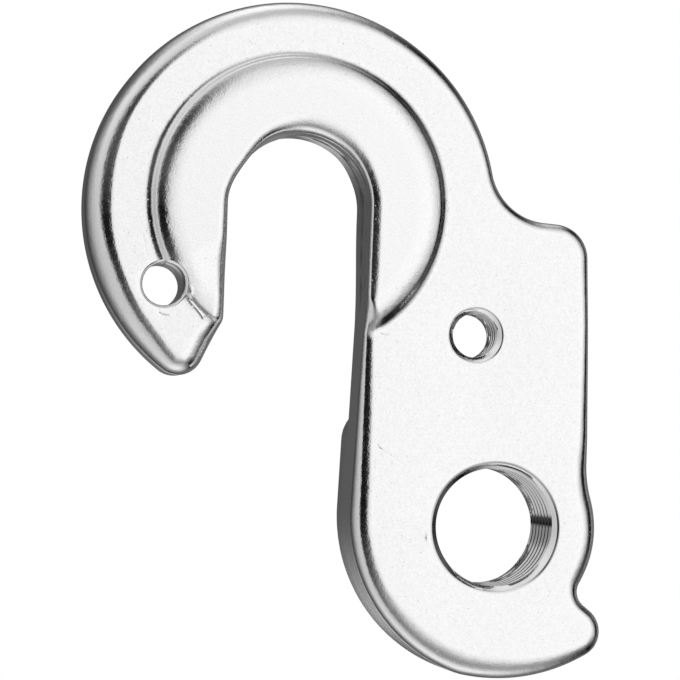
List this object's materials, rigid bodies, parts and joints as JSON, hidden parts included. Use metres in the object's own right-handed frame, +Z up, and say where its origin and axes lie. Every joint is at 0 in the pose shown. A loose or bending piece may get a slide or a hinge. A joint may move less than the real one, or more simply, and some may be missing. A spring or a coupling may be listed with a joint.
{
  "type": "derailleur hanger",
  "caption": "Hook-shaped bicycle derailleur hanger: slotted hook with a raised axle seat, a plate below with a threaded derailleur bore, and a stop for the adjusting screw.",
  "frame": {"origin": "on the wheel axle's centre line, in the face that seats on the frame's dropout", "axes": "+X rearward, +Y outboard (away from the wheel), +Z up, as fitted on the right-hand side of the frame"},
  "size_m": [0.0407, 0.0087, 0.0531],
  "materials": {
    "polished_aluminium": "polished, with slightly grainy faces and darker as-cast walls"
  },
  "bodies": {
    "root": {"derailleur_hanger": "polished_aluminium"}
  },
  "joints": []
}
